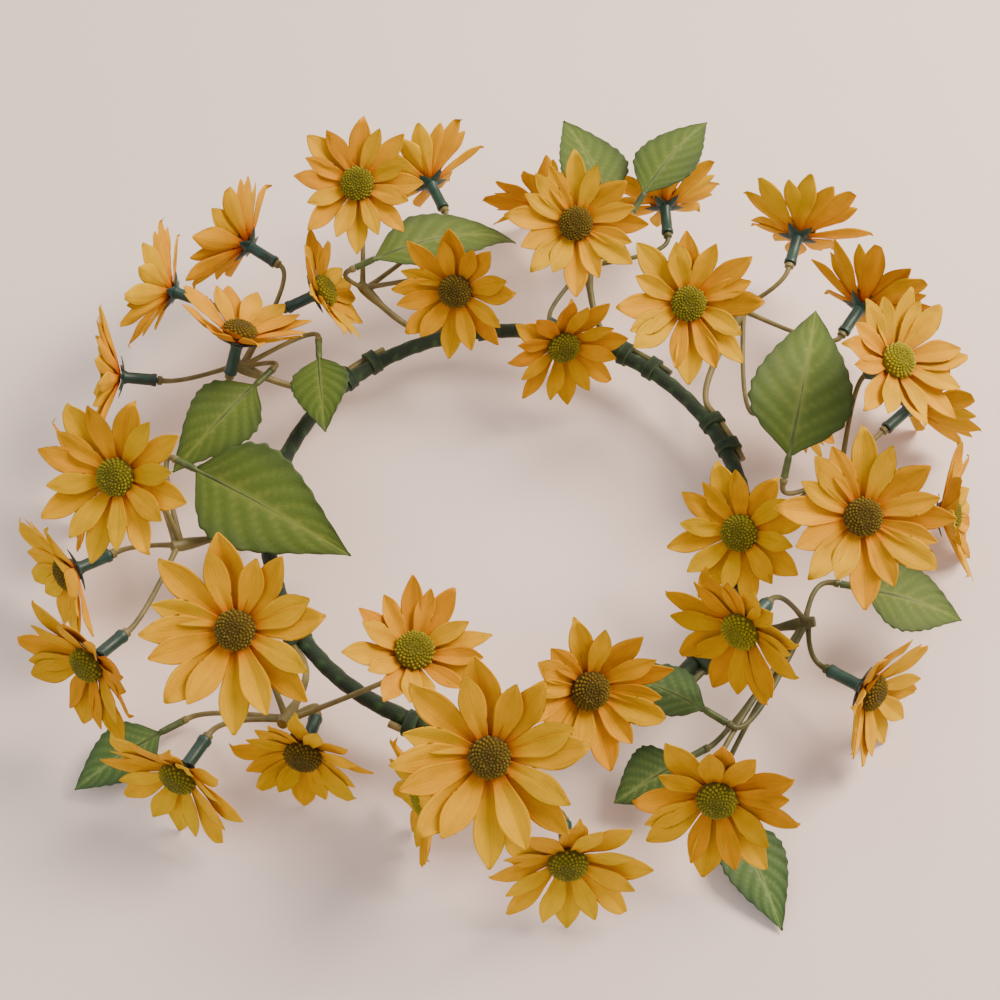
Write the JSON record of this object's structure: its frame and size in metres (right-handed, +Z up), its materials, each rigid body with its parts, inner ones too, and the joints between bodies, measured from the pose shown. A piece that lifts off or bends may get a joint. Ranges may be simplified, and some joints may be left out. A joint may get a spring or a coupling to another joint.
{
  "type": "flower crown",
  "caption": "Taped wire hoop carrying moulded branch sprays with daisy-like fabric flower heads that turn on pegs, and fabric leaves.",
  "frame": {"origin": "on the axis of the head opening, at the height of the table that the crown lies on", "axes": "+Z up, +X to the right and +Y away from a viewer who stands in front; the widest part of the crown runs along X"},
  "size_m": [0.3697, 0.3328, 0.1014],
  "materials": {
    "petal_fabric": "golden yellow woven polyester petals, orange at the base",
    "flock": "olive yellow flocked dome",
    "calyx_plastic": "dark green soft polyethylene",
    "stem_plastic": "olive tan moulded polyethylene",
    "leaf_fabric": "olive green printed polyester leaf",
    "floral_tape": "dark green crepe floral tape",
    "steel_wire": "plain drawn wire, hidden under the tape"
  },
  "bodies": {
    "crown": {"hoop_wire": "steel_wire", "tape_wrap": "floral_tape", "tie_bands": "floral_tape", "spray_1": "stem_plastic", "spray_2": "stem_plastic", "spray_3": "stem_plastic", "spray_4": "stem_plastic", "spray_5": "stem_plastic", "spray_6": "stem_plastic", "spray_7": "stem_plastic", "spray_8": "stem_plastic", "spray_9": "stem_plastic", "leaf_1": "leaf_fabric", "leaf_2": "leaf_fabric", "leaf_3": "leaf_fabric", "leaf_4": "leaf_fabric", "leaf_5": "leaf_fabric", "leaf_6": "leaf_fabric", "leaf_7": "leaf_fabric", "leaf_8": "leaf_fabric", "leaf_9": "leaf_fabric", "leaf_10": "leaf_fabric", "leaf_11": "leaf_fabric", "leaf_12": "leaf_fabric"},
    "head_1_1_body": {"head_1_1": "petal_fabric"},
    "head_1_2_body": {"head_1_2": "petal_fabric"},
    "head_1_3_body": {"head_1_3": "petal_fabric"},
    "head_1_4_body": {"head_1_4": "petal_fabric"},
    "head_2_1_body": {"head_2_1": "petal_fabric"},
    "head_2_2_body": {"head_2_2": "petal_fabric"},
    "head_2_3_body": {"head_2_3": "petal_fabric"},
    "head_2_4_body": {"head_2_4": "petal_fabric"},
    "head_3_1_body": {"head_3_1": "petal_fabric"},
    "head_3_2_body": {"head_3_2": "petal_fabric"},
    "head_3_3_body": {"head_3_3": "petal_fabric"},
    "head_3_4_body": {"head_3_4": "petal_fabric"},
    "head_4_1_body": {"head_4_1": "petal_fabric"},
    "head_4_2_body": {"head_4_2": "petal_fabric"},
    "head_4_3_body": {"head_4_3": "petal_fabric"},
    "head_5_1_body": {"head_5_1": "petal_fabric"},
    "head_5_2_body": {"head_5_2": "petal_fabric"},
    "head_5_3_body": {"head_5_3": "petal_fabric"},
    "head_5_4_body": {"head_5_4": "petal_fabric"},
    "head_5_5_body": {"head_5_5": "petal_fabric"},
    "head_6_1_body": {"head_6_1": "petal_fabric"},
    "head_6_2_body": {"head_6_2": "petal_fabric"},
    "head_6_3_body": {"head_6_3": "petal_fabric"},
    "head_6_4_body": {"head_6_4": "petal_fabric"},
    "head_7_1_body": {"head_7_1": "petal_fabric"},
    "head_7_2_body": {"head_7_2": "petal_fabric"},
    "head_7_3_body": {"head_7_3": "petal_fabric"},
    "head_7_4_body": {"head_7_4": "petal_fabric"},
    "head_8_1_body": {"head_8_1": "petal_fabric"},
    "head_8_2_body": {"head_8_2": "petal_fabric"},
    "head_8_3_body": {"head_8_3": "petal_fabric"},
    "head_9_1_body": {"head_9_1": "petal_fabric"},
    "head_9_2_body": {"head_9_2": "petal_fabric"},
    "head_9_3_body": {"head_9_3": "petal_fabric"},
    "head_9_4_body": {"head_9_4": "petal_fabric"},
    "head_9_5_body": {"head_9_5": "petal_fabric"}
  },
  "joints": [
    {"name": "head_1_1_swivel", "type": "hinge", "parent": "crown", "child": "head_1_1_body", "pos_m": [-0.13468, -0.01893, 0.076], "axis": [-0.2198, -0.604, 0.766], "continuous": true},
    {"name": "head_1_2_swivel", "type": "hinge", "parent": "crown", "child": "head_1_2_body", "pos_m": [-0.15954, -0.02813, 0.0283], "axis": [-0.8067, -0.5649, 0.1736], "continuous": true},
    {"name": "head_1_3_swivel", "type": "hinge", "parent": "crown", "child": "head_1_3_body", "pos_m": [-0.14256, -0.07264, 0.044], "axis": [-0.554, -0.7912, 0.2588], "continuous": true},
    {"name": "head_1_4_swivel", "type": "hinge", "parent": "crown", "child": "head_1_4_body", "pos_m": [-0.15961, 0.01116, 0.02736], "axis": [-0.9254, -0.3368, 0.1736], "continuous": true},
    {"name": "head_2_1_swivel", "type": "hinge", "parent": "crown", "child": "head_2_1_body", "pos_m": [-0.08906, -0.07741, 0.074], "axis": [0, -0.5736, 0.8192], "continuous": true},
    {"name": "head_2_2_swivel", "type": "hinge", "parent": "crown", "child": "head_2_2_body", "pos_m": [-0.11078, -0.10698, 0.0283], "axis": [-0.4162, -0.8925, 0.1736], "continuous": true},
    {"name": "head_2_3_swivel", "type": "hinge", "parent": "crown", "child": "head_2_3_body", "pos_m": [-0.07053, -0.09708, 0.02375], "axis": [-0.1677, -0.9513, 0.2588], "continuous": true},
    {"name": "head_2_4_swivel", "type": "hinge", "parent": "crown", "child": "head_2_4_body", "pos_m": [-0.03282, -0.07732, 0.054], "axis": [0.2241, -0.1294, 0.9659], "continuous": true},
    {"name": "head_3_1_swivel", "type": "hinge", "parent": "crown", "child": "head_3_1_body", "pos_m": [-0.02453, -0.11542, 0.02528], "axis": [-0.9361, -0.3407, 0.0872], "continuous": true},
    {"name": "head_3_2_swivel", "type": "hinge", "parent": "crown", "child": "head_3_2_body", "pos_m": [-0.00628, -0.11984, 0.07], "axis": [0, -0.6157, 0.788], "continuous": true},
    {"name": "head_3_3_swivel", "type": "hinge", "parent": "crown", "child": "head_3_3_body", "pos_m": [0.01921, -0.13666, 0.02609], "axis": [0.0328, -0.9391, 0.342], "continuous": true},
    {"name": "head_3_4_swivel", "type": "hinge", "parent": "crown", "child": "head_3_4_body", "pos_m": [0.02563, -0.0894, 0.056], "axis": [0.262, -0.7198, 0.6428], "continuous": true},
    {"name": "head_4_1_swivel", "type": "hinge", "parent": "crown", "child": "head_4_1_body", "pos_m": [0.069, -0.11951, 0.038], "axis": [-0.1504, -0.8529, 0.5], "continuous": true},
    {"name": "head_4_2_swivel", "type": "hinge", "parent": "crown", "child": "head_4_2_body", "pos_m": [0.08, -0.06954, 0.062], "axis": [-0.6209, -0.7399, 0.2588], "continuous": true},
    {"name": "head_4_3_swivel", "type": "hinge", "parent": "crown", "child": "head_4_3_body", "pos_m": [0.12515, -0.0752, 0.02595], "axis": [0.7399, -0.6209, 0.2588], "continuous": true},
    {"name": "head_5_1_swivel", "type": "hinge", "parent": "crown", "child": "head_5_1_body", "pos_m": [0.08459, -0.02426, 0.048], "axis": [-0.4545, -0.5417, 0.7071], "continuous": true},
    {"name": "head_5_2_swivel", "type": "hinge", "parent": "crown", "child": "head_5_2_body", "pos_m": [0.12226, -0.03048, 0.068], "axis": [0, -0.5446, 0.8387], "continuous": true},
    {"name": "head_5_3_swivel", "type": "hinge", "parent": "crown", "child": "head_5_3_body", "pos_m": [0.16398, -0.00286, 0.02574], "axis": [0.9254, -0.1632, 0.342], "continuous": true},
    {"name": "head_5_4_swivel", "type": "hinge", "parent": "crown", "child": "head_5_4_body", "pos_m": [0.14166, 0.03532, 0.07], "axis": [0.383, -0.3214, 0.866], "continuous": true},
    {"name": "head_5_5_swivel", "type": "hinge", "parent": "crown", "child": "head_5_5_body", "pos_m": [0.15957, 0.04576, 0.02811], "axis": [0.7544, 0.633, 0.1736], "continuous": true},
    {"name": "head_6_1_swivel", "type": "hinge", "parent": "crown", "child": "head_6_1_body", "pos_m": [0.14229, 0.0855, 0.042], "axis": [0.5649, 0.8067, 0.1736], "continuous": true},
    {"name": "head_6_2_swivel", "type": "hinge", "parent": "crown", "child": "head_6_2_body", "pos_m": [0.11126, 0.04495, 0.03], "axis": [0.7198, -0.262, 0.6428], "continuous": true},
    {"name": "head_6_3_swivel", "type": "hinge", "parent": "crown", "child": "head_6_3_body", "pos_m": [0.0693, 0.0693, 0.064], "axis": [0, -0.6428, 0.766], "continuous": true},
    {"name": "head_6_4_swivel", "type": "hinge", "parent": "crown", "child": "head_6_4_body", "pos_m": [0.12021, 0.12021, 0.046], "axis": [0.3043, 0.9366, 0.1736], "continuous": true},
    {"name": "head_7_1_swivel", "type": "hinge", "parent": "crown", "child": "head_7_1_body", "pos_m": [0.06762, 0.14501, 0.038], "axis": [-0.0344, 0.9842, 0.1736], "continuous": true},
    {"name": "head_7_2_swivel", "type": "hinge", "parent": "crown", "child": "head_7_2_body", "pos_m": [0.0215, 0.07498, 0.034], "axis": [0.25, -0.933, 0.2588], "continuous": true},
    {"name": "head_7_3_swivel", "type": "hinge", "parent": "crown", "child": "head_7_3_body", "pos_m": [0.0271, 0.10867, 0.066], "axis": [0, -0.6157, 0.788], "continuous": true},
    {"name": "head_7_4_swivel", "type": "hinge", "parent": "crown", "child": "head_7_4_body", "pos_m": [0.01651, 0.15713, 0.02506], "axis": [-0.3304, 0.9077, 0.2588], "continuous": true},
    {"name": "head_8_1_swivel", "type": "hinge", "parent": "crown", "child": "head_8_1_body", "pos_m": [-0.03243, 0.15259, 0.044], "axis": [-0.4162, 0.8925, 0.1736], "continuous": true},
    {"name": "head_8_2_swivel", "type": "hinge", "parent": "crown", "child": "head_8_2_body", "pos_m": [-0.02025, 0.08769, 0.052], "axis": [-0.1504, -0.8529, 0.5], "continuous": true},
    {"name": "head_8_3_swivel", "type": "hinge", "parent": "crown", "child": "head_8_3_body", "pos_m": [-0.05962, 0.12224, 0.074], "axis": [0, -0.5736, 0.8192], "continuous": true},
    {"name": "head_9_1_swivel", "type": "hinge", "parent": "crown", "child": "head_9_1_body", "pos_m": [-0.10706, 0.1189, 0.042], "axis": [-0.8352, 0.5219, 0.1736], "continuous": true},
    {"name": "head_9_2_swivel", "type": "hinge", "parent": "crown", "child": "head_9_2_body", "pos_m": [-0.07842, 0.09346, 0.041], "axis": [0.8925, 0.1574, 0.4226], "continuous": true},
    {"name": "head_9_3_swivel", "type": "hinge", "parent": "crown", "child": "head_9_3_body", "pos_m": [-0.1343, 0.09059, 0.046], "axis": [-0.9513, 0.2549, 0.1736], "continuous": true},
    {"name": "head_9_4_swivel", "type": "hinge", "parent": "crown", "child": "head_9_4_body", "pos_m": [-0.10565, 0.061, 0.05], "axis": [0.2868, 0.4967, 0.8192], "continuous": true},
    {"name": "head_9_5_swivel", "type": "hinge", "parent": "crown", "child": "head_9_5_body", "pos_m": [-0.15128, 0.05209, 0.04], "axis": [-0.9623, -0.0842, 0.2588], "continuous": true}
  ]
}
